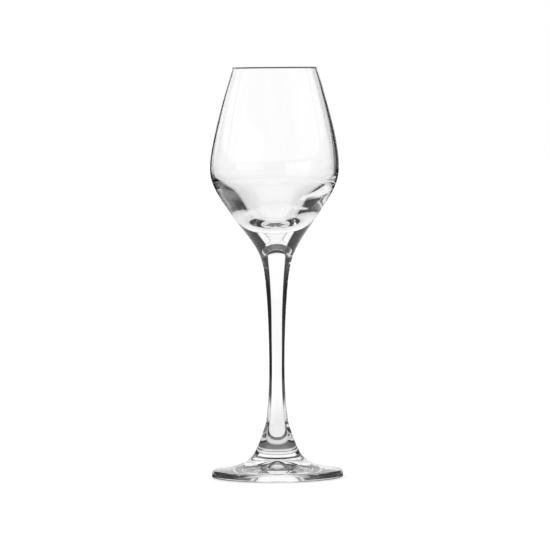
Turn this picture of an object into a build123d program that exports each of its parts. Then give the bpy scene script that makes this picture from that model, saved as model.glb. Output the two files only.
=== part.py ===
from build123d import *
import math
import os

# Heights of the three pieces of glass, stacked weld on weld, in millimetres
foot_height = 21.0
stem_length = 64.0
bowl_height = 86.8

# Radii at the welds and where the outline turns
foot_radius = 27.5
ankle_radius = 5.23
waist_radius = 3.23
neck_radius = 5.17
cone_radius = 14.05
belly_radius = 27.03
lip_radius = 17.42

# Heights of the turns above the weld below them
waist_rise = 26.5
cone_rise = 19.3
belly_rise = 45.5

# Slopes of the outline, as radius gained per unit of height
foot_top_slope = -8.55
ankle_slope = -0.37
neck_slope = 0.14
cone_slope = 0.75
rim_slope = -0.35

# Share of a span's height over which the outline keeps close to the slope at its end
foot_top_hold = 0.11
ankle_hold_below = 0.70
ankle_hold_above = 0.08
waist_hold_below = 0.55
waist_hold_above = 0.265
neck_hold_below = 0.245
neck_hold_above = 0.35
cone_hold_below = 0.47
cone_hold_above = 0.60
belly_hold_below = 0.245
belly_hold_above = 0.265
rim_hold = 0.10

# Edge of the foot, with the shares of it that stay upright and keep the slope of the top
edge_height = 3.1
edge_lean = 0.9
edge_round = 0.5
edge_upright = 0.50
edge_hold = 0.67

# Ring the foot rests on and the bell-shaped hollow inside it, with reaches as shares of its radius
ring_width = 15.0
hollow_rise = 3.8
hollow_slope = 0.163
crown_reach = 0.1875
skirt_reach = 0.4667

# Glass left round the cavity, and the turns of the cavity above its floor
rim_wall = 0.85
belly_wall = 1.03
base_thickness = 20.7
well_radius = 12.1
well_rise = 25.85
well_slope = 1.0
floor_reach = 0.364
well_hold_below = 0.718
well_hold_above = 0.58
cavity_hold_below = 0.336
cavity_hold_above = 0.26


def easing(low, low_slope, low_hold, high, high_slope, high_hold):
    """Control points of a cubic between two (radius, height) points with a slope at each."""
    rise = high[1] - low[1]
    leave = low_hold * rise
    arrive = high_hold * rise
    return [
        low,
        (low[0] + low_slope * leave, low[1] + leave),
        (high[0] - high_slope * arrive, high[1] - arrive),
        high,
    ]


# Turning points of the outline as (radius, height) above the table
edge_top = (foot_radius - edge_lean, edge_height)
edge_shoulder = (edge_top[0] + edge_hold * edge_lean, edge_top[1] + edge_hold * edge_lean / foot_top_slope)
edge_side = (foot_radius, edge_round + edge_upright * (edge_height - edge_round))
edge_widest = (foot_radius, edge_round)
ring_outer = (foot_radius - edge_round, 0)
ring_inner = (ring_outer[0] - ring_width, 0)
hollow_skirt = (ring_inner[0] * (1 - skirt_reach), ring_inner[0] * skirt_reach * hollow_slope)
hollow_crown = (ring_inner[0] * crown_reach, hollow_rise)
hollow_top = (0, hollow_rise)
ankle = (ankle_radius, foot_height)
waist = (waist_radius, foot_height + waist_rise)
neck = (neck_radius, foot_height + stem_length)
cone = (cone_radius, neck[1] + cone_rise)
belly = (belly_radius, neck[1] + belly_rise)
rim_height = neck[1] + bowl_height

# The lip is a half round across the wall, square to the wall's slope
lip_half = rim_wall / 2
lip_angle = math.atan(-rim_slope)
lip_centre = (lip_radius, rim_height - lip_half)
lip_across = (lip_half * math.cos(lip_angle), lip_half * math.sin(lip_angle))
lip_outer = (lip_centre[0] + lip_across[0], lip_centre[1] + lip_across[1])
lip_crown = (lip_centre[0] - lip_across[1], lip_centre[1] + lip_across[0])
lip_inner = (lip_centre[0] - lip_across[0], lip_centre[1] - lip_across[1])

# The cavity follows the outline inside the wall, draws in to a well and ends on a rounded floor
cavity_belly = (belly[0] - belly_wall, belly[1])
well = (well_radius, neck[1] + well_rise)
cavity_floor = (0, neck[1] + base_thickness)
floor_edge = (well_radius * floor_reach, cavity_floor[1])
well_drop = well_hold_below * (well[1] - cavity_floor[1])
well_wall = (well[0] - well_slope * well_drop, well[1] - well_drop)

# Foot: a trumpet over a thin disc with a rounded edge, hollow beneath
with BuildPart() as foot:
    with BuildSketch(Plane.XZ):
        with BuildLine():
            Line(hollow_top, (0, foot_height))
            Line((0, foot_height), ankle)
            Bezier(*easing(edge_top, foot_top_slope, foot_top_hold, ankle, ankle_slope, ankle_hold_below))
            Bezier(edge_widest, edge_side, edge_shoulder, edge_top)
            TangentArc(ring_outer, edge_widest, tangent=(1, 0))
            Line(ring_inner, ring_outer)
            Bezier(hollow_top, hollow_crown, hollow_skirt, ring_inner)
        make_face()
    revolve(axis=Axis.Z)
foot.part.label = "foot"

# Stem: a drawn rod, narrowest at the waist
with BuildPart() as stem:
    with BuildSketch(Plane.XZ):
        with BuildLine():
            Line((0, ankle[1]), ankle)
            Bezier(*easing(ankle, ankle_slope, ankle_hold_above, waist, 0, waist_hold_below))
            Bezier(*easing(waist, 0, waist_hold_above, neck, neck_slope, neck_hold_below))
            Line(neck, (0, neck[1]))
            Line((0, neck[1]), (0, ankle[1]))
        make_face()
    revolve(axis=Axis.Z)
stem.part.label = "stem"

# Bowl: a tulip with a thin wall over a thick solid base
with BuildPart() as bowl:
    with BuildSketch(Plane.XZ):
        with BuildLine():
            Line((0, neck[1]), neck)
            Bezier(*easing(neck, neck_slope, neck_hold_above, cone, cone_slope, cone_hold_below))
            Bezier(*easing(cone, cone_slope, cone_hold_above, belly, 0, belly_hold_below))
            Bezier(*easing(belly, 0, belly_hold_above, lip_outer, rim_slope, rim_hold))
            ThreePointArc(lip_outer, lip_crown, lip_inner)
            Bezier(*easing(cavity_belly, 0, cavity_hold_above, lip_inner, rim_slope, rim_hold))
            Bezier(*easing(well, well_slope, well_hold_above, cavity_belly, 0, cavity_hold_below))
            Bezier(cavity_floor, floor_edge, well_wall, well)
            Line(cavity_floor, (0, neck[1]))
        make_face()
    revolve(axis=Axis.Z)
bowl.part.label = "bowl"

os.makedirs("parts", exist_ok=True)
export_step(foot.part, "parts/foot.step")
export_step(stem.part, "parts/stem.step")
export_step(bowl.part, "parts/bowl.step")
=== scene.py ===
import math

import bpy
import numpy as np
from bpy.props import FloatProperty, FloatVectorProperty, IntProperty, PointerProperty
from mathutils import Matrix, Vector


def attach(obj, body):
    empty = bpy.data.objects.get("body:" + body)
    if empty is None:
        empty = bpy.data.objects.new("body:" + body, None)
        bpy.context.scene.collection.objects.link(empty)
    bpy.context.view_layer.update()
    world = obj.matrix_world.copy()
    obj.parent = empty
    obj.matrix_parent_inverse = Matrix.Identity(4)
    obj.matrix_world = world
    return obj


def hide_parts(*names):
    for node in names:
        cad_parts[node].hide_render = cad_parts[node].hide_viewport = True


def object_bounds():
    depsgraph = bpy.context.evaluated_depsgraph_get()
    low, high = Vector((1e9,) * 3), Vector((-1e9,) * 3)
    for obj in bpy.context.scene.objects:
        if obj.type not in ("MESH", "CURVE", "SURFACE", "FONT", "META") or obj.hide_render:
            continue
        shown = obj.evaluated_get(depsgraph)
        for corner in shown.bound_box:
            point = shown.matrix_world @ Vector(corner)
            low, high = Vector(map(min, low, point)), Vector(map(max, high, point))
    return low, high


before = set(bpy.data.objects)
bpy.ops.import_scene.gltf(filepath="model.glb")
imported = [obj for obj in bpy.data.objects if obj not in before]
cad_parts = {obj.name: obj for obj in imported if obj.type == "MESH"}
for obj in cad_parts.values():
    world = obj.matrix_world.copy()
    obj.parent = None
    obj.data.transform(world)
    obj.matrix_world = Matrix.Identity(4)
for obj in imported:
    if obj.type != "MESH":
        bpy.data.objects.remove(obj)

bl_info = {
    "name": "Cordial Glass",
    "version": (1, 0, 0),
    "blender": (4, 5, 0),
    "location": "View3D > Sidebar > Cordial Glass",
    "description": "Makes a clear stemmed cordial glass on its packed frame, in a light tent",
    "category": "Object",
}

CAD_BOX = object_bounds()

# Bounces of light in the glass, the camera's sensor in millimetres, and degrees in a radian
BOUNCES = 32
SENSOR_WIDTH = 36.0
DEGREES = 180 / math.pi

# Longest step along the outline of each piece, in metres, and the fewest steps in one of its runs
FOOT_STEP = 0.00028
STEM_STEP = 0.0004
BOWL_STEP = 0.00056
FEWEST_STEPS = 4

# Cords in the glass: scale of their noise, finer across than up, and the part of it that shows
CORD_SCALE = (220.0, 220.0, 14.0)
CORD_SHOWS = (0.45, 0.75)

# Depths below the rim between which the lip's painted dark shade comes in
LIP_SHADE_DEPTHS = (0.00065, 0.0004)

# Height below the lip over which the cavity's shift comes in
SHIFT_FADE = 0.012

# Heights between which the axis strays, in the stem, in the base and from about the belly up
STEM_STRAYS = (0.025, 0.095)
BASE_STRAYS = (0.090, 0.113)
BELLY_STRAYS = (0.124, 0.150)

# Edges of the tent's parts in degrees, from none to full or from full to none
TABLE_DROP = (8, 20)
TABLE_TURN = (85, 105)
BELOW_DROP = (42, 56)
FLAG_SOFT = 4
NARROWING = (-2.4, 0.6)
WINDOW_SOFT = 3.5
WINDOW_LIFT = (-54, -44, 33, 38)
SWEEP_DROP = (8, 30)
CEILING_LIFT = (62, 72)
STRIP_TURN = (104, 110, 155, 162)
STRIP_LIFT = (-8, -4, 20, 24)
WALL_TURN = (100, 108, 150, 158)
WALL_LIFT = (-10, -5, 30, 36)

# Edges of the softbox overhead, as distances per unit of height, and the least height that counts
SOFTBOX_SIDE = (0.56, 0.64)
SOFTBOX_AWAY = (0.22, 0.32, 0.82, 0.88)
HORIZON = 0.001

# Edges of the side panels' parts in degrees
PANEL_RIGHT = (0, 1)
PANEL_FRONT = (70, 150)
PANEL_STRIP = (118, 123, 131, 136)
PANEL_SOFT = 10

# Soft edges of the shown table in metres: under the ring, and inwards and outwards from the foot's edge
RING_SOFT = 0.005
EDGE_INWARD = (0.0040, 0.0025)
EDGE_OUTWARD = (0.0008, 0.0030)

# Soft edge of its dark sides in degrees
SIDE_SOFT = 6

# Floor: scale and strength of its grain, and the brightness that it reaches under the open room
GRAIN_SCALE = 400.0
GRAIN_STEP = 0.02
FLOOR_WHITE = 1.05

# Share of a disc's radius that its innermost ring keeps, so that no face shrinks to a line
DISC_HOLE = 0.001


def length(label, note, value, low=0.0):
    """A length in metres that a user may change."""
    return FloatProperty(
        name=label, description=note, default=value, min=low, precision=5, subtype="DISTANCE", unit="LENGTH"
    )


def share(label, note, value):
    """A plain ratio that a user may change."""
    return FloatProperty(name=label, description=note, default=value, precision=3)


def tone(label, note, value):
    """A colour that a user may change."""
    return FloatVectorProperty(
        name=label, description=note, default=value, min=0.0, max=1.0, size=3, subtype="COLOR"
    )


class FootSizes(bpy.types.PropertyGroup):
    """Sizes of the trumpet foot."""

    height: length("Height", "Height of the weld with the stem above the table", 0.021)
    radius: length("Radius", "Radius of the disc at its edge", 0.0275)
    edge_height: length("Edge height", "Height at which the rounded edge meets the top of the disc", 0.0031)
    edge_lean: length("Edge lean", "How far the edge draws in from its widest to its top", 0.0009)
    edge_round: length("Edge round", "Radius of the round under the edge", 0.0005)
    edge_upright: share("Edge upright", "Share of the edge's height that stays upright", 0.50)
    edge_hold: share("Edge hold", "Share of the edge's lean that keeps the slope of the top", 0.67)
    ring_width: length("Ring width", "Width of the flat ring that rests on the table", 0.0150)
    hollow_rise: length("Hollow rise", "Height of the bell-shaped hollow under the foot", 0.0038)
    hollow_slope: share("Hollow slope", "Rise per unit of radius where the hollow leaves the ring", 0.163)
    crown_reach: share("Crown reach", "Share of the hollow's radius that its round crown pulls on", 0.1875)
    skirt_reach: share("Skirt reach", "Share of the hollow's radius that its flat skirt pulls on", 0.4667)
    top_slope: share("Top slope", "Radius gained per unit of height on the disc", -8.55)
    top_hold: share("Top hold", "Share of the trumpet's height that keeps the slope of the disc", 0.11)
    ankle_hold: share("Ankle hold", "Share of the trumpet's height that keeps the slope of the ankle", 0.70)


class StemSizes(bpy.types.PropertyGroup):
    """Sizes of the drawn stem."""

    length: length("Length", "Length of the stem between its two welds", 0.064)
    ankle_radius: length("Ankle radius", "Radius at the weld with the foot", 0.00523)
    ankle_slope: share("Ankle slope", "Radius gained per unit of height at the weld with the foot", -0.37)
    ankle_hold: share("Ankle hold", "Share of the lower span that keeps the slope of the ankle", 0.08)
    waist_radius: length("Waist radius", "Radius at the narrowest place", 0.00323)
    waist_rise: length("Waist rise", "Height of the narrowest place above the lower weld", 0.0265)
    waist_hold_below: share("Waist hold below", "Share of the lower span that stays upright", 0.55)
    waist_hold_above: share("Waist hold above", "Share of the upper span that stays upright", 0.265)
    neck_radius: length("Neck radius", "Radius at the weld with the bowl", 0.00517)
    neck_slope: share("Neck slope", "Radius gained per unit of height at the weld with the bowl", 0.14)
    neck_hold: share("Neck hold", "Share of the upper span that keeps the slope of the neck", 0.245)


class BowlSizes(bpy.types.PropertyGroup):
    """Sizes of the tulip bowl and its cavity."""

    height: length("Height", "Height from the weld with the stem to the rim", 0.0868)
    neck_hold: share("Neck hold", "Share of the lowest span that keeps the slope of the neck", 0.35)
    cone_radius: length("Cone radius", "Radius half-way up the solid base", 0.01405)
    cone_rise: length("Cone rise", "Height of that radius above the weld", 0.0193)
    cone_slope: share("Cone slope", "Radius gained per unit of height there", 0.75)
    cone_hold_below: share("Cone hold below", "Share of the span below that keeps this slope", 0.47)
    cone_hold_above: share("Cone hold above", "Share of the span above that keeps this slope", 0.60)
    belly_radius: length("Belly radius", "Widest radius", 0.02703)
    belly_rise: length("Belly rise", "Height of the widest radius above the weld", 0.0455)
    belly_hold_below: share("Belly hold below", "Share of the span below that stays upright", 0.245)
    belly_hold_above: share("Belly hold above", "Share of the span above that stays upright", 0.265)
    lip_radius: length("Lip radius", "Radius at the middle of the lip", 0.01742)
    rim_slope: share("Rim slope", "Radius gained per unit of height at the rim", -0.35)
    rim_hold: share("Rim hold", "Share of the upper span that keeps the slope of the rim", 0.10)
    rim_wall: length("Rim wall", "Thickness of the wall at the lip", 0.00085)
    belly_wall: length("Belly wall", "Thickness of the wall at the belly", 0.00103)
    base_thickness: length("Base thickness", "Glass between the weld and the floor of the cavity", 0.0207)
    well_radius: length("Well radius", "Radius of the cavity where it draws in to its floor", 0.0121)
    well_rise: length("Well rise", "Height of that radius above the weld", 0.02585)
    well_slope: share("Well slope", "Radius gained per unit of height there", 1.0)
    well_hold_below: share("Well hold below", "Share of the span below that keeps this slope", 0.718)
    well_hold_above: share("Well hold above", "Share of the span above that keeps this slope", 0.58)
    floor_reach: share("Floor reach", "Share of the well's radius over which its floor stays level", 0.364)
    cavity_hold_below: share("Cavity hold below", "Share of its span below that stays upright", 0.336)
    cavity_hold_above: share("Cavity hold above", "Share of its span above that stays upright", 0.26)
    cavity_shift: length("Cavity shift", "How far the blown cavity sits off the axis", -0.00015, -0.001)


class GlassFinish(bpy.types.PropertyGroup):
    """Finish of the clear glass."""

    tint: tone("Tint", "Colour of the clear glass", (0.998, 0.998, 0.998))
    cord_tint: tone("Cord tint", "Colour of the faint cords drawn out in the glass", (0.985, 0.987, 0.987))
    # Near-black colour painted on the lip: painted shade for the dark line that the rim shows when seen
    # edge-on
    lip_painted_shade: tone("Lip tint", "Colour of the lip, where light is caught in the wall", (0.03, 0.03, 0.03))
    bend: share("Refraction", "Refractive index of the glass", 1.52)
    wave: length("Wave", "Height of the faint waves that fire polishing leaves", 0.00001)
    wave_size: length("Wave size", "Width of one of those waves", 0.014)
    stem_stray: length("Stem stray", "How far the axis strays to the right up the stem", 0.00027, -0.001)
    base_stray: length("Base stray", "How far it strays back in the base of the bowl", -0.00067, -0.001)
    belly_stray: length("Belly stray", "How far it strays right again from the belly up", 0.0004, -0.001)
    turns: IntProperty(name="Turns", description="Facets round a piece", default=240, min=48)


class StudioSetup(bpy.types.PropertyGroup):
    """Light tent, floor and camera."""

    tent_radius: length("Tent radius", "Radius of the light tent", 10.0)
    window: share("Window", "Brightness of the white window behind the glass", 1.05)
    window_side: share("Window side", "Angle from straight behind where the window ends, in degrees", 27.5)
    window_high: share("Window high", "The same angle above the horizon, where the window is narrower", 24.0)
    slot_left: length("Slot left", "Distance of the left dark card from the middle", 0.0315)
    slot_right: length("Slot right", "Distance of the right dark card from the middle", 0.0312)
    card_depth: length("Card depth", "Distance of the dark cards behind the axis", 0.030)
    card_low: length("Card low", "Height of the lower edge of the dark cards", 0.100)
    card_high: length("Card high", "Height of the upper edge of the dark cards", 0.178)
    reach_left: length("Reach left", "Distance of the left card's outer edge from the middle", 0.044)
    reach_right: length("Reach right", "Distance of the right card's outer edge from the middle", 0.048)
    sweep: share("Sweep", "Brightness of the white sweep below the window", 1.0)
    flag: share("Flag", "Brightness of the dark flags at both sides", 0.022)
    softbox: share("Softbox", "Brightness of the softbox overhead", 1.06)
    strip: share("Strip", "Brightness of the strip light in front at the left", 1.0)
    wall: share("Wall", "Brightness of the grey wall in front at the right", 0.20)
    around: share("Around", "Brightness of the tent below the dark flags", 0.8)
    flag_low: share("Flag low", "Angle below level at which the dark flags end, in degrees", 9.0)
    table: share("Table", "Brightness of the table in front and below", 0.80)
    ceiling: share("Ceiling", "Brightness of the ceiling round the softbox", 0.16)
    side: share("Side", "Brightness of the side panels", 1.8)
    side_right: share("Side right", "Brightness of the shaded end of the right side panel", 0.2)
    side_turn: share("Side turn", "Angle up to which the right side panel is shaded, in degrees", 62.0)
    front: share("Front", "Brightness of the panels in front", 0.9)
    collar_open: share("Panel gap", "Angle from straight behind where the panels start, in degrees", 33.0)
    collar_radius: length("Panel distance", "Distance of the side panels from the axis", 0.15)
    collar_low: length("Panel low", "Height of the lower edge of the side panels", 0.072)
    collar_full: length("Panel full", "Height at which the side panels reach their full brightness", 0.125)
    side_low: length("Side low", "Height at which the panels beside the glass start to glow", 0.100)
    side_full: length("Side full", "Height at which they reach their full brightness there", 0.138)
    collar_high: length("Panel high", "Height of the upper edge of the side panels", 0.30)
    floor_radius: length("Floor radius", "Radius of the pale floor", 6.0)
    floor_gap: length("Floor gap", "Distance of the floor below the foot", 0.0003)
    floor_shade: share("Floor shade", "Share of the room's light that the floor gives back", 0.45)
    # Mat values: light and shade of the table, painted into its glow as the glass shows it; the foot's shadow
    # is painted in under its hollow and edge
    mat_in_shade: share("Mat within", "Brightness of the shown table under the hollow of the foot", 0.16)
    mat_ring: share("Mat ring", "Brightness of the table under the ring of the foot", 0.75)
    mat_edge_shade: share("Mat edge", "Brightness of the table in the shade of the foot's edge", 0.05)
    mat_out: share("Mat outside", "Brightness of the table before and behind the foot", 0.90)
    mat_side: share("Mat side", "Angle from straight behind where the table turns dark, in degrees", 27.5)
    mat_near: length("Mat near", "Distance at which the shaded sides of the table start to fade", 0.050)
    mat_fade: length("Mat fade", "Distance at which the shown table starts to give way to the tent", 0.085)
    mat_end: length("Mat end", "Distance at which the shown table has given way to the tent", 0.26)
    camera_distance: length("Camera distance", "Distance of the camera in front of the glass", 1.85)
    camera_height: length("Camera height", "Height of the camera above the table", 0.172)
    aim_height: length("Aim height", "Height of the point that the camera looks at", 0.0847)
    aside: length("Aside", "How far the camera stands to the side", -0.00045, -0.1)
    roll: FloatProperty(
        name="Roll", description="Turn of the camera about its view", default=math.radians(-0.42),
        subtype="ANGLE",
    )
    lens: FloatProperty(
        name="Lens", description="Focal length of the camera in millimetres", default=289.3, min=1.0,
        subtype="DISTANCE_CAMERA",
    )


class Wire:
    """A socket of a node tree. Arithmetic on wires adds Math nodes, and add makes any other node."""

    def __init__(self, tree, socket=None):
        self.tree = tree
        self.socket = socket

    def add(self, kind, settings=None, sockets=None, out=0):
        """Makes a node of a type, sets its settings and then fills its sockets with values or wires."""
        node = self.tree.nodes.new(kind)
        for key, value in (settings or {}).items():
            setattr(node, key, value)
        for key, value in (sockets or {}).items():
            if isinstance(value, Wire):
                self.tree.links.new(value.socket, node.inputs[key])
            else:
                node.inputs[key].default_value = value
        return Wire(self.tree, node.outputs[out] if node.outputs else None)

    def calc(self, operation, *values):
        """A Math node on this wire and the given values."""
        return self.add("ShaderNodeMath", {"operation": operation}, dict(enumerate((self, *values))))

    def rise(self, low, high):
        """Smooth step from 0 at the low value to 1 at the high one."""
        sockets = {"Value": self, "From Min": low, "From Max": high}
        return self.add("ShaderNodeMapRange", {"interpolation_type": "SMOOTHSTEP"}, sockets)

    def between(self, low, low_full, high_full, high):
        """Smooth window: 0 below low, 1 between the full values, 0 above high."""
        return self.rise(low, low_full) * (1 - self.rise(high_full, high))

    def mix(self, first, second):
        """Colour between two colours, by this wire."""
        sockets = {"Factor": self, "A": first, "B": second}
        return self.add("ShaderNodeMix", {"data_type": "RGBA"}, sockets, "Result")

    def __add__(self, other):
        return self.calc("ADD", other)

    def __radd__(self, other):
        return self.calc("ADD", other)

    def __sub__(self, other):
        return self.calc("SUBTRACT", other)

    def __rsub__(self, other):
        return (self * -1).calc("ADD", other)

    def __mul__(self, other):
        return self.calc("MULTIPLY", other)

    def __rmul__(self, other):
        return self.calc("MULTIPLY", other)

    def __truediv__(self, other):
        return self.calc("DIVIDE", other)

    def __neg__(self):
        return self * -1

    def __abs__(self):
        return self.calc("ABSOLUTE")


def blend(value, other, part):
    """The value where the part is 0, the other where it is 1, and a mix between."""
    return value + (other - value) * part


def bearing(right, away):
    """Angle from straight behind, in degrees, positive to the right."""
    return right.calc("ARCTAN2", away) * DEGREES


def shader_tree(owner):
    """Empties the node tree of a material or a world and returns it."""
    owner.use_nodes = True
    owner.node_tree.nodes.clear()
    return owner.node_tree


def clear_glass(finish):
    """Clear glass: a smooth dielectric with faint cords in its colour, a painted dark shade along the lip and
    faint waves on its surface.
    """
    material = bpy.data.materials.get("clear_glass_blown")
    if material:
        return material
    material = bpy.data.materials.new("clear_glass_blown")
    start = Wire(shader_tree(material))
    place = start.add("ShaderNodeTexCoord", out="Object")
    drawn = start.add("ShaderNodeMapping", {}, {"Vector": place, "Scale": CORD_SCALE})
    cords = start.add(
        "ShaderNodeTexNoise", {}, {"Vector": drawn, "Scale": 1.0, "Detail": 3.0, "Roughness": 0.6}
    )
    colour = cords.rise(*CORD_SHOWS).mix((*finish.tint, 1.0), (*finish.cord_tint, 1.0))
    height = start.add("ShaderNodeSeparateXYZ", {}, {0: place}, "Z")
    scene = bpy.context.scene
    top = scene.cordial_foot.height + scene.cordial_stem.length + scene.cordial_bowl.height
    # Painted shade: the lip's colour darkens to near black over the top fraction of a millimetre
    lip = height.rise(*(top - depth for depth in LIP_SHADE_DEPTHS))
    colour = lip.mix(colour, (*finish.lip_painted_shade, 1.0))
    ripples = start.add(
        "ShaderNodeTexNoise", {},
        {"Vector": place, "Scale": 1 / finish.wave_size, "Detail": 1.0, "Roughness": 0.4},
    )
    waves = start.add("ShaderNodeBump", {}, {"Height": ripples, "Strength": 1.0, "Distance": finish.wave})
    surface = start.add(
        "ShaderNodeBsdfPrincipled", {},
        {
            "Base Color": colour, "Roughness": 0.0, "IOR": finish.bend, "Transmission Weight": 1.0,
            "Normal": waves,
        },
    )
    start.add("ShaderNodeOutputMaterial", {}, {"Surface": surface})
    return material


def weld_glass():
    """The face inside a weld: glass runs through it, so light passes it unbent."""
    material = bpy.data.materials.get("fused_weld")
    if material:
        return material
    material = bpy.data.materials.new("fused_weld")
    start = Wire(shader_tree(material))
    through = start.add("ShaderNodeBsdfTransparent")
    start.add("ShaderNodeOutputMaterial", {}, {"Surface": through})
    return material


def span(start, start_pull, end_pull, end, step):
    """Cubic with two end points and two pulling points, as rows of place and direction.

    A point is the ends and pulls weighted by (1-t)^3, 3(1-t)^2 t, 3(1-t) t^2 and t^3. Its direction is the
    derivative, made one unit long. Both are given as radius and height.
    """
    p = np.array([start, start_pull, end_pull, end], float)
    count = max(FEWEST_STEPS, math.ceil(np.linalg.norm(np.diff(p, axis=0), axis=1).sum() / step))
    t = np.linspace(0, 1, count + 1)[:, None]
    point = (1 - t) ** 3 * p[0] + 3 * (1 - t) ** 2 * t * p[1] + 3 * (1 - t) * t**2 * p[2] + t**3 * p[3]
    d = np.diff(p, axis=0)
    way = (1 - t) ** 2 * d[0] + 2 * (1 - t) * t * d[1] + t**2 * d[2]
    return np.hstack([point, way / np.linalg.norm(way, axis=1)[:, None]])


def easing(low, low_slope, low_hold, high, high_slope, high_hold, step):
    """Span from one point to a higher one along given slopes, held for shares of the height between."""
    leave = low_hold * (high[1] - low[1])
    arrive = high_hold * (high[1] - low[1])
    pull_low = (low[0] + low_slope * leave, low[1] + leave)
    pull_high = (high[0] - high_slope * arrive, high[1] - arrive)
    return span(low, pull_low, pull_high, high, step)


def straight(start, end, step):
    """Straight run between two points, as a span whose pulls lie on it."""
    a, b = np.array(start, float), np.array(end, float)
    return span(a, a + (b - a) / 3, b - (b - a) / 3, b, step)


def arc(centre, radius, first, last, step):
    """Arc about a centre between two angles, as rows of place and direction."""
    count = max(FEWEST_STEPS, math.ceil(abs(last - first) * radius / step))
    a = np.linspace(first, last, count + 1)
    turn = math.copysign(1, last - first)
    return np.column_stack([
        centre[0] + radius * np.cos(a), centre[1] + radius * np.sin(a), -turn * np.sin(a), turn * np.cos(a)
    ])


def backwards(run):
    """The same run travelled from its end to its start."""
    return run[::-1] * np.array([1, 1, -1, -1])


def lathe(name, runs, welds, turns, shift=None):
    """Turns runs of an outline about the Z axis into one closed mesh.

    A grid point is (radius cos a + shift, radius sin a, height), with a once round. Its normal is the
    outline's direction turned a quarter to the right and carried round with it. The outline starts and
    ends on the axis, where a fan closes it. Runs named as welds take the second material.
    """
    outline = np.vstack([runs[0][:1]] + [run[1:] for run in runs])
    ends = np.vstack([np.stack([run[:-1, 2:], run[1:, 2:]], axis=1) for run in runs])
    weld = np.concatenate([np.full(len(run) - 1, k in welds) for k, run in enumerate(runs)])
    move = shift(outline) if shift else np.zeros((len(outline), 2))
    a = np.arange(turns) * (2 * math.pi / turns)
    rings = outline[1:-1]
    grid = np.stack([
        rings[:, :1] * np.cos(a) + move[1:-1, :1],
        rings[:, :1] * np.sin(a),
        np.repeat(rings[:, 1:2], turns, axis=1),
    ], axis=-1)
    first = (move[0, 0], 0.0, outline[0, 1])
    last = (move[-1, 0], 0.0, outline[-1, 1])
    points = np.vstack([[first], grid.reshape(-1, 3), [last]])

    n = len(rings)
    i, j = np.meshgrid(np.arange(n - 1), np.arange(turns), indexing="ij")
    k = (j + 1) % turns
    quads = np.stack([i * turns + j, i * turns + k, (i + 1) * turns + k, (i + 1) * turns + j], axis=-1) + 1
    j = np.arange(turns)
    k = (j + 1) % turns
    fan_first = np.column_stack([np.zeros(turns, int), k + 1, j + 1])
    tail = (n - 1) * turns + 1
    fan_last = np.column_stack([tail + j, tail + k, np.full(turns, len(points) - 1)])
    loops = np.concatenate([fan_first.ravel(), quads.ravel(), fan_last.ravel()])
    sizes = np.concatenate([np.full(turns, 3), np.full((n - 1) * turns, 4), np.full(turns, 3)])
    starts = np.concatenate([[0], np.cumsum(sizes)[:-1]])

    mesh = bpy.data.meshes.new(name)
    mesh.vertices.add(len(points))
    mesh.vertices.foreach_set("co", points.astype(np.float32).ravel())
    mesh.loops.add(len(loops))
    mesh.loops.foreach_set("vertex_index", loops.astype(np.int32))
    mesh.polygons.add(len(sizes))
    mesh.polygons.foreach_set("loop_start", starts.astype(np.int32))
    mesh.polygons.foreach_set("material_index", np.repeat(weld, turns).astype(np.int32))
    mesh.update(calc_edges=True)
    if mesh.validate():
        raise RuntimeError(f"{name}: the mesh had faults")
    mesh.polygons.foreach_set("use_smooth", np.ones(len(sizes), bool))

    def facing(way, drift, angle):
        """Normals of the outline's directions at angles round the axis."""
        across = np.broadcast_to(way[..., 1:2], angle.shape)
        rise = -(way[..., :1] + drift * across * np.cos(angle))
        rise = np.broadcast_to(rise, angle.shape)
        normal = np.stack([across * np.cos(angle), across * np.sin(angle), rise], -1)
        return normal / np.linalg.norm(normal, axis=-1)[..., None]

    here = np.broadcast_to(a, (len(ends), turns))
    there = here + 2 * math.pi / turns
    low, high = ends[:, 0], ends[:, 1]
    drift_low, drift_high = move[:-1, 1:2], move[1:, 1:2]
    corner = [facing(low, drift_low, here), facing(low, drift_low, there),
              facing(high, drift_high, there), facing(high, drift_high, here)]
    middle = here + math.pi / turns
    tip_low = facing(low[:1], drift_low[:1], middle[:1])
    tip_high = facing(high[-1:], drift_high[-1:], middle[-1:])
    fan_low = np.stack([tip_low, corner[2][:1], corner[3][:1]], axis=2)
    fan_high = np.stack([corner[0][-1:], corner[1][-1:], tip_high], axis=2)
    normals = np.vstack([
        fan_low.reshape(-1, 3), np.stack(corner, axis=2)[1:-1].reshape(-1, 3), fan_high.reshape(-1, 3)
    ])
    mesh.normals_split_custom_set(normals.astype(np.float32))
    piece = bpy.data.objects.new(name, mesh)
    bpy.context.scene.collection.objects.link(piece)
    return piece


def stray(finish, height):
    """Sideways stray of the glass's axis at heights, with its change: three slow steps on the way up."""
    steps = (
        (finish.stem_stray, STEM_STRAYS),
        (finish.base_stray, BASE_STRAYS),
        (finish.belly_stray, BELLY_STRAYS),
    )
    total = np.zeros((len(height), 2))
    for amount, (low, high) in steps:
        t = np.clip((height - low) / (high - low), 0, 1)
        total += amount * np.column_stack([t * t * (3 - 2 * t), 6 * t * (1 - t) / (high - low)])
    return total


def finish_piece(piece, node, finish):
    """Gives a piece its glass and its welds, and sets it in the frame in place of its node."""
    piece.data.materials.append(clear_glass(finish))
    piece.data.materials.append(weld_glass())
    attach(piece, "root")
    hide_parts(node)


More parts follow.
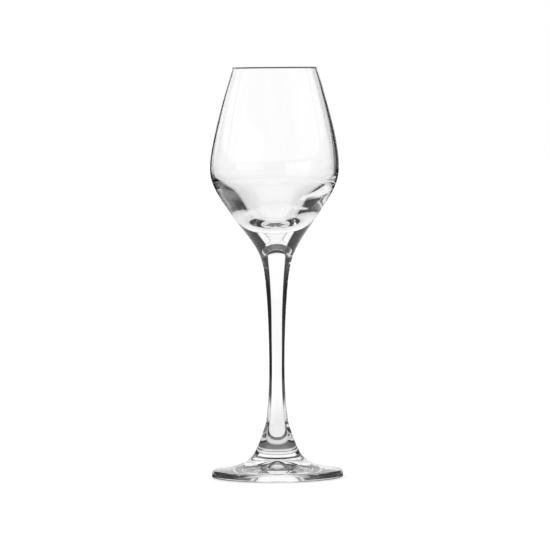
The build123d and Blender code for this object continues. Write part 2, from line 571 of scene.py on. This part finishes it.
class CORDIAL_OT_make_foot(bpy.types.Operator):
    """Makes the foot: a trumpet over a thin disc with a rounded edge and a bell-shaped hollow beneath"""

    bl_idname = "cordial.make_foot"
    bl_label = "Make Foot"
    bl_options = {"REGISTER", "UNDO"}

    def execute(self, context):
        s, stem = context.scene.cordial_foot, context.scene.cordial_stem
        step = FOOT_STEP
        ankle = (stem.ankle_radius, s.height)
        edge_top = (s.radius - s.edge_lean, s.edge_height)
        edge_lean = s.edge_hold * s.edge_lean
        edge_shoulder = (edge_top[0] + edge_lean, edge_top[1] + edge_lean / s.top_slope)
        edge_side = (s.radius, s.edge_round + s.edge_upright * (s.edge_height - s.edge_round))
        ring_outer = (s.radius - s.edge_round, 0.0)
        ring_inner = (ring_outer[0] - s.ring_width, 0.0)
        crown = (ring_inner[0] * s.crown_reach, s.hollow_rise)
        skirt = (ring_inner[0] * (1 - s.skirt_reach), ring_inner[0] * s.skirt_reach * s.hollow_slope)
        runs = [
            span((0.0, s.hollow_rise), crown, skirt, ring_inner, step),
            straight(ring_inner, ring_outer, step),
            arc((ring_outer[0], s.edge_round), s.edge_round, -math.pi / 2, 0.0, step / 2),
            span((s.radius, s.edge_round), edge_side, edge_shoulder, edge_top, step / 2),
            easing(edge_top, s.top_slope, s.top_hold, ankle, stem.ankle_slope, s.ankle_hold, step),
            straight(ankle, (0.0, s.height), 4 * step),
        ]
        finish = context.scene.cordial_finish
        finish_piece(lathe("foot_glass", runs, {5}, finish.turns), "foot", finish)
        return {"FINISHED"}


class CORDIAL_OT_make_stem(bpy.types.Operator):
    """Makes the stem: a drawn rod, narrowest a little below its middle"""

    bl_idname = "cordial.make_stem"
    bl_label = "Make Stem"
    bl_options = {"REGISTER", "UNDO"}

    def execute(self, context):
        s, foot = context.scene.cordial_stem, context.scene.cordial_foot
        step = STEM_STEP
        ankle = (s.ankle_radius, foot.height)
        waist = (s.waist_radius, foot.height + s.waist_rise)
        neck = (s.neck_radius, foot.height + s.length)
        runs = [
            straight((0.0, ankle[1]), ankle, 3 * step),
            easing(ankle, s.ankle_slope, s.ankle_hold, waist, 0.0, s.waist_hold_below, step),
            easing(waist, 0.0, s.waist_hold_above, neck, s.neck_slope, s.neck_hold, step),
            straight(neck, (0.0, neck[1]), 3 * step),
        ]
        finish = context.scene.cordial_finish

        def sway(outline):
            """Shift of the stem's rings and its change with height."""
            return stray(finish, outline[:, 1])

        finish_piece(lathe("stem_glass", runs, {0, 3}, finish.turns, sway), "stem", finish)
        return {"FINISHED"}


class CORDIAL_OT_make_bowl(bpy.types.Operator):
    """Makes the bowl: a blown tulip with a thin wall over a thick solid base"""

    bl_idname = "cordial.make_bowl"
    bl_label = "Make Bowl"
    bl_options = {"REGISTER", "UNDO"}

    def execute(self, context):
        s, stem = context.scene.cordial_bowl, context.scene.cordial_stem
        step = BOWL_STEP
        base = context.scene.cordial_foot.height + stem.length
        neck = (stem.neck_radius, base)
        cone = (s.cone_radius, base + s.cone_rise)
        belly = (s.belly_radius, base + s.belly_rise)
        lean = math.atan(-s.rim_slope)
        half = s.rim_wall / 2
        lip = (s.lip_radius, base + s.height - half)
        lip_outer = (lip[0] + half * math.cos(lean), lip[1] + half * math.sin(lean))
        lip_inner = (lip[0] - half * math.cos(lean), lip[1] - half * math.sin(lean))
        inner_belly = (belly[0] - s.belly_wall, belly[1])
        well = (s.well_radius, base + s.well_rise)
        floor = (0.0, base + s.base_thickness)
        floor_edge = (s.well_radius * s.floor_reach, floor[1])
        drop = s.well_hold_below * (well[1] - floor[1])
        well_wall = (well[0] - s.well_slope * drop, well[1] - drop)
        upper = easing(inner_belly, 0.0, s.cavity_hold_above, lip_inner, s.rim_slope, s.rim_hold, step)
        lower = easing(well, s.well_slope, s.well_hold_above, inner_belly, 0.0, s.cavity_hold_below, step)
        outer = [
            straight((0.0, base), neck, 3 * step),
            easing(neck, stem.neck_slope, s.neck_hold, cone, s.cone_slope, s.cone_hold_below, step),
            easing(cone, s.cone_slope, s.cone_hold_above, belly, 0.0, s.belly_hold_below, step),
            easing(belly, 0.0, s.belly_hold_above, lip_outer, s.rim_slope, s.rim_hold, step),
            arc(lip, half, lean, lean + math.pi, step / 4),
        ]
        cavity = [backwards(run) for run in (upper, lower, span(floor, floor_edge, well_wall, well, step))]
        outside = sum(len(run) - 1 for run in outer)
        finish = context.scene.cordial_finish

        def off_centre(outline):
            """Shift of the rings and its change with height. The cavity's own comes in below the lip."""
            t = np.clip((lip_inner[1] - outline[:, 1]) / SHIFT_FADE, 0, 1)
            amount = s.cavity_shift * t * t * (3 - 2 * t)
            change = -s.cavity_shift * 6 * t * (1 - t) / SHIFT_FADE
            move = np.column_stack([amount, change])
            move[:outside] = 0
            return move + stray(finish, outline[:, 1])

        finish_piece(lathe("bowl_glass", outer + cavity, {0}, finish.turns, off_centre), "bowl", finish)
        return {"FINISHED"}


def stage_sheet(name, place, material, rows, columns, closed=True):
    """A stage surface on a grid of two parameters from 0 to 1, the second once round if closed.

    place gives the grid's points, and its own docstring says in words how they run.
    """
    across = columns + 1 - closed
    u, v = np.meshgrid(np.linspace(0, 1, rows + 1), np.arange(across) / columns, indexing="ij")
    points = place(u, v).reshape(-1, 3)
    i, j = np.meshgrid(np.arange(rows), np.arange(columns), indexing="ij")
    k = (j + 1) % across
    faces = np.stack([i * across + j, i * across + k, (i + 1) * across + k, (i + 1) * across + j], -1)
    mesh = bpy.data.meshes.new(name)
    mesh.from_pydata(points.tolist(), [], faces.reshape(-1, 4).tolist())
    mesh.update()
    mesh.materials.append(material)
    sheet = bpy.data.objects.new(name, mesh)
    bpy.context.scene.collection.objects.link(sheet)
    return sheet


def only_in_glass(sheet):
    """Lets a stage surface show in the glass alone, by reflection and refraction."""
    sheet.visible_camera = False
    sheet.visible_diffuse = False
    sheet.visible_shadow = False
    sheet.visible_volume_scatter = False


def glow(name, level):
    """Material that glows at the level that a function of its first wire gives."""
    material = bpy.data.materials.new(name)
    start = Wire(shader_tree(material))
    light = start.add("ShaderNodeEmission", {}, {"Color": level(start), "Strength": 1.0})
    start.add("ShaderNodeOutputMaterial", {}, {"Surface": light})
    material.cycles.emission_sampling = "NONE"
    return material


def tent_light(studio):
    """Emission of the tent by direction.

    A white window stands behind the glass between dark flags, and the tent is bright below them. A softbox
    hangs overhead, and a strip light and a grey wall stand in front.
    """

    def level(start):
        """Brightness of the tent as a wire."""
        place = start.add("ShaderNodeTexCoord", out="Object")
        way = start.add("ShaderNodeVectorMath", {"operation": "NORMALIZE"}, {0: place})
        right, away, up = (start.add("ShaderNodeSeparateXYZ", {}, {0: way}, k) for k in range(3))
        turn = bearing(right, away)
        lift = up.calc("ARCSINE") * DEGREES
        drop = -lift
        aside = abs(turn)

        under = drop.rise(studio.flag_low, studio.flag_low + FLAG_SOFT)
        value = blend(studio.flag, studio.around, under)
        table = (drop.rise(*TABLE_DROP) * aside.rise(*TABLE_TURN)).calc("MAXIMUM", drop.rise(*BELOW_DROP))
        value = blend(value, studio.table, table)

        edge = blend(studio.window_side, studio.window_high, lift.rise(*NARROWING))
        window = (1 - (aside - edge).rise(0, WINDOW_SOFT)) * lift.between(*WINDOW_LIFT)
        white = blend(studio.window, studio.sweep, drop.rise(*SWEEP_DROP))
        value = blend(value, white, window)

        height = up.calc("MAXIMUM", HORIZON)
        softbox = (1 - abs(right / height).rise(*SOFTBOX_SIDE)) * (away / height).between(*SOFTBOX_AWAY)
        softbox = softbox * up.calc("GREATER_THAN", HORIZON)
        value = blend(value, studio.softbox, softbox)
        value = blend(value, studio.ceiling, lift.rise(*CEILING_LIFT) * (1 - softbox))

        strip = (-turn).between(*STRIP_TURN) * lift.between(*STRIP_LIFT)
        value = blend(value, studio.strip, strip)
        return blend(value, studio.wall, turn.between(*WALL_TURN) * lift.between(*WALL_LIFT))

    return glow("light_tent", level)


def collar_light(studio):
    """Emission of the side panels by direction.

    They are bright at both sides and dimmer in front. The right one is shaded at its back end, and a strip
    light stands in front at the left.
    """

    def level(start):
        """Brightness of the panels as a wire."""
        place = start.add("ShaderNodeTexCoord", out="Object")
        right, away, up = (start.add("ShaderNodeSeparateXYZ", {}, {0: place}, k) for k in range(3))
        turn = bearing(right, away)
        front = abs(turn).rise(*PANEL_FRONT)
        value = blend(studio.side, studio.front, front)
        shaded = turn.between(*PANEL_RIGHT, studio.side_turn, studio.side_turn + PANEL_SOFT)
        value = blend(value, studio.side_right, shaded)
        value = blend(value, studio.strip, (-turn).between(*PANEL_STRIP))
        below = up.rise(studio.collar_low, studio.collar_full)
        beside = up.rise(studio.side_low, studio.side_full)
        return value * blend(beside, below, front)

    return glow("side_panels", level)


def table_light(studio, foot):
    """Emission of the table as the glass shows it, with its light and shade painted in.

    It has the foot's shadow painted in under the foot's hollow and edge and painted shade at both sides. It
    is pale under the ring and before and behind the foot, and gone further out.
    """
    material = bpy.data.materials.new("table_in_glass")
    start = Wire(shader_tree(material))
    place = start.add("ShaderNodeTexCoord", out="Object")
    far = start.add("ShaderNodeVectorMath", {"operation": "LENGTH"}, {0: place}, "Value")
    ring = foot.radius - foot.edge_round - foot.ring_width
    # Painted shadow of the foot: dark under its hollow, pale under its ring and dark again at its edge
    level = blend(studio.mat_in_shade, studio.mat_ring, far.rise(ring, ring + RING_SOFT))
    level = blend(level, studio.mat_edge_shade, far.rise(*(foot.radius - gap for gap in EDGE_INWARD)))
    right, away = (abs(start.add("ShaderNodeSeparateXYZ", {}, {0: place}, k)) for k in range(2))
    # Painted shade at both sides of the table, as the dark flags would cast
    beside = bearing(right, away).rise(studio.mat_side, studio.mat_side + SIDE_SOFT)
    beyond = blend(studio.mat_out, studio.flag, beside)
    level = blend(level, beyond, far.rise(*(foot.radius + gap for gap in EDGE_OUTWARD)))
    light = start.add("ShaderNodeEmission", {}, {"Color": level, "Strength": 1.0})
    through = start.add("ShaderNodeBsdfTransparent")
    side_end = beside * far.rise(studio.mat_near, studio.mat_fade)
    end = far.rise(studio.mat_fade, studio.mat_end).calc("MAXIMUM", side_end)
    both = start.add("ShaderNodeMixShader", {}, {0: end, 1: light, 2: through})
    start.add("ShaderNodeOutputMaterial", {}, {"Surface": both})
    material.cycles.emission_sampling = "NONE"
    return material


def pale_floor(studio):
    """Pale floor: matt, filled to white by the room's light, and shaded by the glass where it stands."""
    pale = studio.floor_shade
    lighter = pale + GRAIN_STEP
    material = bpy.data.materials.new("pale_floor")
    start = Wire(shader_tree(material))
    place = start.add("ShaderNodeTexCoord", out="Object")
    grain = start.add("ShaderNodeTexNoise", {}, {"Vector": place, "Scale": GRAIN_SCALE, "Detail": 2.0})
    colour = grain.mix((pale, pale, pale, 1.0), (lighter, lighter, lighter, 1.0))
    surface = start.add(
        "ShaderNodeBsdfPrincipled", {},
        {
            "Base Color": colour, "Roughness": 0.9, "Specular IOR Level": 0.0,
            "Emission Color": (1.0, 1.0, 1.0, 1.0), "Emission Strength": FLOOR_WHITE - pale,
        },
    )
    start.add("ShaderNodeOutputMaterial", {}, {"Surface": surface})
    material.cycles.emission_sampling = "NONE"
    return material


class CORDIAL_OT_set_stage(bpy.types.Operator):
    """Sets the stage: a pale floor, a light tent that stands still and the camera in front"""

    bl_idname = "cordial.set_stage"
    bl_label = "Set Stage"
    bl_options = {"REGISTER", "UNDO"}

    def execute(self, context):
        scene = context.scene
        s = scene.cordial_studio
        scene.view_settings.view_transform = "Standard"
        for limit in ("max_bounces", "glossy_bounces", "transmission_bounces", "transparent_max_bounces"):
            setattr(scene.cycles, limit, BOUNCES)

        world = bpy.data.worlds.new("white_room")
        scene.world = world
        room = Wire(shader_tree(world))
        light = room.add("ShaderNodeBackground", {}, {"Color": (1.0, 1.0, 1.0, 1.0), "Strength": 1.0})
        room.add("ShaderNodeOutputWorld", {}, {"Surface": light})

        data = bpy.data.cameras.new("camera")
        data.lens = s.lens
        data.sensor_width = SENSOR_WIDTH
        camera = bpy.data.objects.new("camera", data)
        scene.collection.objects.link(camera)
        scene.camera = camera
        stand = Vector((s.aside, -s.camera_distance, s.camera_height))
        view = (Vector((s.aside, 0.0, s.aim_height)) - stand).normalized()
        right = view.cross(Vector((0, 0, 1))).normalized()
        up = right.cross(view)
        across = right * math.cos(s.roll) + up * math.sin(s.roll)
        upright = up * math.cos(s.roll) - right * math.sin(s.roll)
        turn = Matrix((across, upright, -view)).transposed()
        camera.matrix_world = Matrix.Translation(stand) @ turn.to_4x4()

        def ball(u, v):
            """Sphere: rows run from the bottom to the top, columns run round."""
            tilt, a = math.pi * (u - 0.5), 2 * math.pi * v
            level = np.cos(tilt)
            return s.tent_radius * np.stack([level * np.cos(a), level * np.sin(a), np.sin(tilt)], -1)

        tent = stage_sheet("light_tent", ball, tent_light(s), rows=64, columns=128)
        tent.location.z = (CAD_BOX[0][2] + CAD_BOX[1][2]) / 2
        only_in_glass(tent)

        def dark(start):
            """Even brightness of the dark cards."""
            return (s.flag, s.flag, s.flag, 1.0)

        black = glow("dark_card", dark)
        sides = {"card_left": (-s.slot_left, -s.reach_left), "card_right": (s.slot_right, s.reach_right)}
        for name, (near, far) in sides.items():
            def card(u, v):
                """Flat upright card: rows run up, columns run outwards from the slot."""
                rise = s.card_low + u * (s.card_high - s.card_low)
                return np.stack([near + v * (far - near), np.full_like(u, s.card_depth), rise], -1)

            only_in_glass(stage_sheet(name, card, black, rows=2, columns=2, closed=False))

        def collar(u, v):
            """Upright band round the glass, open behind it: rows run up, columns run from side to side."""
            gap = math.radians(s.collar_open)
            a = gap + v * (2 * math.pi - 2 * gap)
            r = np.full_like(a, s.collar_radius)
            rise = s.collar_low + u * (s.collar_high - s.collar_low)
            return np.stack([r * np.sin(a), r * np.cos(a), rise], -1)

        band = stage_sheet("side_panels", collar, collar_light(s), rows=2, columns=96, closed=False)
        only_in_glass(band)
        band.visible_transmission = False

        def disc(u, v):
            """Flat disc: rows run outwards, closer together near the middle, columns run round."""
            r, a = s.floor_radius * (DISC_HOLE + u * u), 2 * math.pi * v
            return np.stack([r * np.cos(a), r * np.sin(a), np.full_like(r, -s.floor_gap)], -1)

        floor = stage_sheet("floor", disc, pale_floor(s), rows=40, columns=96)
        floor.visible_glossy = False
        floor.visible_transmission = False

        def mat(u, v):
            """Small flat disc under the foot: rows run outwards, columns run round."""
            r, a = s.mat_end * (DISC_HOLE + u), 2 * math.pi * v
            return np.stack([r * np.cos(a), r * np.sin(a), np.full_like(r, -s.floor_gap)], -1)

        shown = table_light(s, scene.cordial_foot)
        only_in_glass(stage_sheet("table_in_glass", mat, shown, rows=12, columns=96))
        return {"FINISHED"}


class CORDIAL_PT_sidebar(bpy.types.Panel):
    """Lists the sizes and the steps in the 3D view's sidebar"""

    bl_idname = "CORDIAL_PT_sidebar"
    bl_label = "Cordial Glass"
    bl_space_type = "VIEW_3D"
    bl_region_type = "UI"
    bl_category = "Cordial Glass"

    def draw(self, context):
        layout = self.layout
        for label, group in GROUPS.items():
            values = getattr(context.scene, f"cordial_{label}")
            box = layout.box()
            box.label(text=label.capitalize())
            for name in group.__annotations__:
                box.prop(values, name)
        for step in STEPS:
            layout.operator(step.bl_idname)


GROUPS = {
    "foot": FootSizes, "stem": StemSizes, "bowl": BowlSizes, "finish": GlassFinish, "studio": StudioSetup,
}
STEPS = (CORDIAL_OT_make_foot, CORDIAL_OT_make_stem, CORDIAL_OT_make_bowl, CORDIAL_OT_set_stage)
CLASSES = (*GROUPS.values(), *STEPS, CORDIAL_PT_sidebar)


def register():
    """Registers the classes and hangs their values on the scene."""
    for cls in CLASSES:
        bpy.utils.register_class(cls)
    for label, group in GROUPS.items():
        setattr(bpy.types.Scene, f"cordial_{label}", PointerProperty(type=group))


def unregister():
    """Takes the values and the classes away again."""
    for label in GROUPS:
        delattr(bpy.types.Scene, f"cordial_{label}")
    for cls in reversed(CLASSES):
        bpy.utils.unregister_class(cls)


def main():
    """Registers the add-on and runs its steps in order."""
    register()
    bpy.ops.cordial.make_foot()
    bpy.ops.cordial.make_stem()
    bpy.ops.cordial.make_bowl()
    bpy.ops.cordial.set_stage()


if __name__ == "__main__":
    main()
